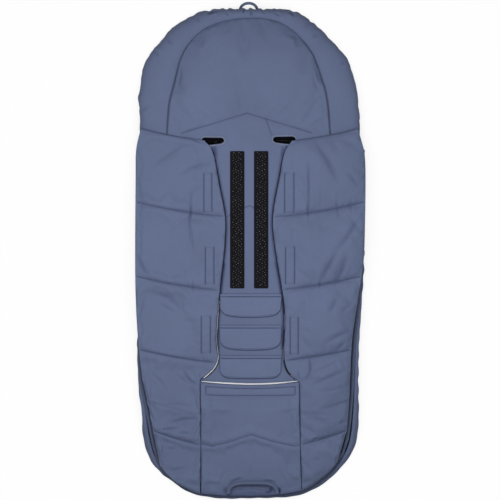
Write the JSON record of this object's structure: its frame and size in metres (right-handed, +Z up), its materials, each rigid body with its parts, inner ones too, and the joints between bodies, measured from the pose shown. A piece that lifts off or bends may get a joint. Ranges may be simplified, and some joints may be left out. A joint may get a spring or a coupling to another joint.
{
  "type": "stroller footmuff",
  "caption": "Quilted stroller footmuff lying face down: hooded back with harness slots, grip strips, folding wings and pocket, zipped to a padded front cover.",
  "frame": {"origin": "middle of the footprint, on the floor", "axes": "+X to the right of the back seen from above, +Y towards the hood, +Z up, with the front cover on the floor"},
  "size_m": [0.4832, 1.0402, 0.0791],
  "materials": {
    "shell_fabric": "slate blue woven shell, quilted, matt",
    "lining_fleece": "dark fleece",
    "webbing": "woven tape, matt",
    "grip_rubber": "matt, with raised dots",
    "zip_nylon": "nylon zip",
    "slider_metal": "painted zip slider",
    "reflective_piping": "reflective piping",
    "binding_tape": "woven binding",
    "hook_and_loop": "hook and loop tape",
    "elastic": "covered elastic"
  },
  "bodies": {
    "front": {"cover_zip_coil_left": "zip_nylon", "cover_zip_coil_right": "zip_nylon", "cover_zip_tape_left": "zip_nylon", "cover_zip_tape_right": "zip_nylon", "cuff_binding": "binding_tape", "foot_binding": "binding_tape", "front_cover": "shell_fabric", "front_lining": "lining_fleece"},
    "back": {"back_lining": "lining_fleece", "back_panel": "shell_fabric", "back_zip_coil_left": "zip_nylon", "back_zip_coil_right": "zip_nylon", "back_zip_tape_left": "zip_nylon", "back_zip_tape_right": "zip_nylon", "crotch_slot_binding_lower": "binding_tape", "crotch_slot_binding_middle": "binding_tape", "crotch_slot_binding_upper": "binding_tape", "grip_strip_left": "grip_rubber", "grip_strip_right": "grip_rubber", "hang_loop": "webbing", "hood_casing": "shell_fabric", "hood_elastic": "elastic", "hood_rim": "shell_fabric", "loop_patch_left_lower": "hook_and_loop", "loop_patch_left_middle": "hook_and_loop", "loop_patch_left_upper": "hook_and_loop", "loop_patch_right_lower": "hook_and_loop", "loop_patch_right_middle": "hook_and_loop", "loop_patch_right_upper": "hook_and_loop", "pocket": "shell_fabric", "pocket_hook_patch": "hook_and_loop", "pocket_loop_patch": "hook_and_loop", "pocket_piping": "reflective_piping", "shoulder_slot_binding_left": "binding_tape", "shoulder_slot_binding_right": "binding_tape", "side_panel_left": "shell_fabric", "side_panel_right": "shell_fabric"},
    "slider_left": {"slider_left": "slider_metal"},
    "zip_pull_left": {"zip_pull_left": "zip_nylon"},
    "wing_left": {"hook_patch_left_lower": "hook_and_loop", "hook_patch_left_middle": "hook_and_loop", "hook_patch_left_upper": "hook_and_loop", "wing_left": "shell_fabric", "wing_piping_left": "reflective_piping"},
    "slider_right": {"slider_right": "slider_metal"},
    "zip_pull_right": {"zip_pull_right": "zip_nylon"},
    "wing_right": {"hook_patch_right_lower": "hook_and_loop", "hook_patch_right_middle": "hook_and_loop", "hook_patch_right_upper": "hook_and_loop", "wing_piping_right": "reflective_piping", "wing_right": "shell_fabric"},
    "crotch_flap_upper": {"crotch_flap_upper": "shell_fabric"},
    "crotch_flap_middle": {"crotch_flap_middle": "shell_fabric"},
    "crotch_flap_lower": {"crotch_flap_lower": "shell_fabric"},
    "foot_loop": {"foot_loop": "webbing"}
  },
  "joints": [
    {"name": "back_open", "type": "hinge", "parent": "front", "child": "back", "pos_m": [0, -0.52072, 0.0518], "axis": [1, 0, 0], "range_deg": [0, 110]},
    {"name": "wing_left_fold", "type": "hinge", "parent": "back", "child": "wing_left", "pos_m": [-0.10471, -0.27743, 0.0667], "axis": [0.188, -0.9822, 0], "range_deg": [0, 110]},
    {"name": "wing_right_fold", "type": "hinge", "parent": "back", "child": "wing_right", "pos_m": [0.10335, -0.27743, 0.0667], "axis": [0.1851, 0.9827, 0], "range_deg": [0, 110]},
    {"name": "crotch_flap_upper_lift", "type": "hinge", "parent": "back", "child": "crotch_flap_upper", "pos_m": [0.00126, -0.09976, 0.0623], "axis": [-1, 0, 0], "range_deg": [0, 135]},
    {"name": "crotch_flap_middle_lift", "type": "hinge", "parent": "back", "child": "crotch_flap_middle", "pos_m": [0.00126, -0.16549, 0.0623], "axis": [-1, 0, 0], "range_deg": [0, 135]},
    {"name": "crotch_flap_lower_lift", "type": "hinge", "parent": "back", "child": "crotch_flap_lower", "pos_m": [0.00126, -0.22916, 0.0623], "axis": [-1, 0, 0], "range_deg": [0, 135]},
    {"name": "foot_loop_lift", "type": "hinge", "parent": "back", "child": "foot_loop", "pos_m": [0.00611, -0.51313, 0.0672], "axis": [1, 0, 0], "range_deg": [0, 100]},
    {"name": "zip_left_slide", "type": "slide", "parent": "front", "child": "slider_left", "axis": [0, -1, 0], "range_m": [0, 0.27]},
    {"name": "zip_pull_left_swing", "type": "hinge", "parent": "slider_left", "child": "zip_pull_left", "pos_m": [-0.23644, 0.18575, 0.04555], "axis": [0, 0, -1], "range_deg": [0, 170]},
    {"name": "zip_right_slide", "type": "slide", "parent": "front", "child": "slider_right", "axis": [0, -1, 0], "range_m": [0, 0.11]},
    {"name": "zip_pull_right_swing", "type": "hinge", "parent": "slider_right", "child": "zip_pull_right", "pos_m": [0.24041, 0.18575, 0.04555], "axis": [0, 0, 1], "range_deg": [0, 170]}
  ]
}
